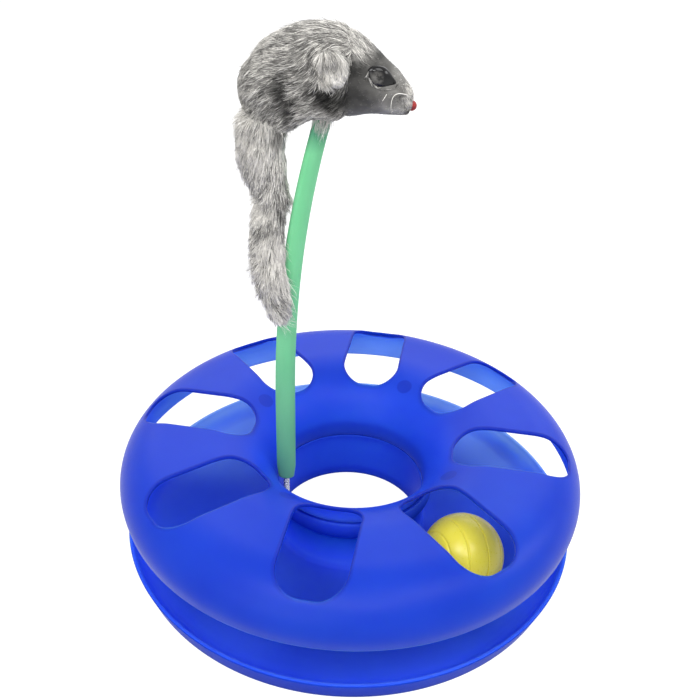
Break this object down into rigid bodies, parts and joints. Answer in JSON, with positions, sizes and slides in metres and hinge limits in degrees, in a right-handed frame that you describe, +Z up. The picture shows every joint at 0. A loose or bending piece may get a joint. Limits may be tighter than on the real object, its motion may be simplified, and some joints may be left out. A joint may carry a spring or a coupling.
{
  "type": "cat track toy",
  "caption": "Ring-shaped ball track for cats with slots all round, a captive rolling ball, and a furry mouse on a springy sleeved rod standing in the centre hole.",
  "frame": {"origin": "centre of the ring on the plane of its underside", "axes": "+Z up along the ring's axis, +X the way the mouse faces, -Y towards the viewer"},
  "size_m": [0.242, 0.242, 0.2652],
  "materials": {
    "blue_plastic": "satin moulded plastic, slightly translucent",
    "yellow_plastic": "semi-gloss",
    "green_sleeve": "soft matt tube",
    "spring_steel": "bright wire",
    "grey_fur": "short mottled pile",
    "black_eye": "gloss",
    "red_nose": "matt",
    "whisker_bristle": "clear bristle"
  },
  "bodies": {
    "ring": {"base_shell": "blue_plastic", "top_shell": "blue_plastic"},
    "ball": {"ball_half_a": "yellow_plastic", "ball_half_b": "yellow_plastic"},
    "spring": {"spring_coil": "spring_steel"},
    "rod": {"sleeve": "green_sleeve", "core_wire": "spring_steel", "wire_ferrule": "spring_steel", "mouse_body": "grey_fur", "mouse_head": "grey_fur", "ear_left": "grey_fur", "ear_right": "grey_fur", "eye_left": "black_eye", "eye_right": "black_eye", "nose": "red_nose", "whisker_left_1": "whisker_bristle", "whisker_left_2": "whisker_bristle", "whisker_right_1": "whisker_bristle", "whisker_right_2": "whisker_bristle"},
    "tail_upper": {"tail_upper": "grey_fur"},
    "tail_lower": {"tail_lower": "grey_fur"}
  },
  "joints": [
    {"name": "ball_orbit", "type": "hinge", "parent": "ring", "child": "ball", "pos_m": [0, 0, 0], "axis": [0, 0, 1], "continuous": true},
    {"name": "rod_sway_side", "type": "hinge", "parent": "ring", "child": "spring", "pos_m": [-0.03447, -0.00608, 0.027], "axis": [0, 1, 0], "range_deg": [-4, 25], "stiffness_Nm_per_rad": 0.6, "deforming": ["spring_coil"]},
    {"name": "rod_sway_fore", "type": "hinge", "parent": "spring", "child": "rod", "pos_m": [-0.03447, -0.00608, 0.034], "axis": [1, 0, 0], "range_deg": [-25, 25], "stiffness_Nm_per_rad": 0.6, "deforming": ["spring_coil"]},
    {"name": "tail_swing", "type": "hinge", "parent": "rod", "child": "tail_upper", "pos_m": [-0.04327, -0.00608, 0.2225], "axis": [0, 1, 0], "range_deg": [0, 35]},
    {"name": "tail_bend", "type": "hinge", "parent": "tail_upper", "child": "tail_lower", "pos_m": [-0.03957, -0.00608, 0.1905], "axis": [0, 1, 0], "range_deg": [0, 30]}
  ]
}
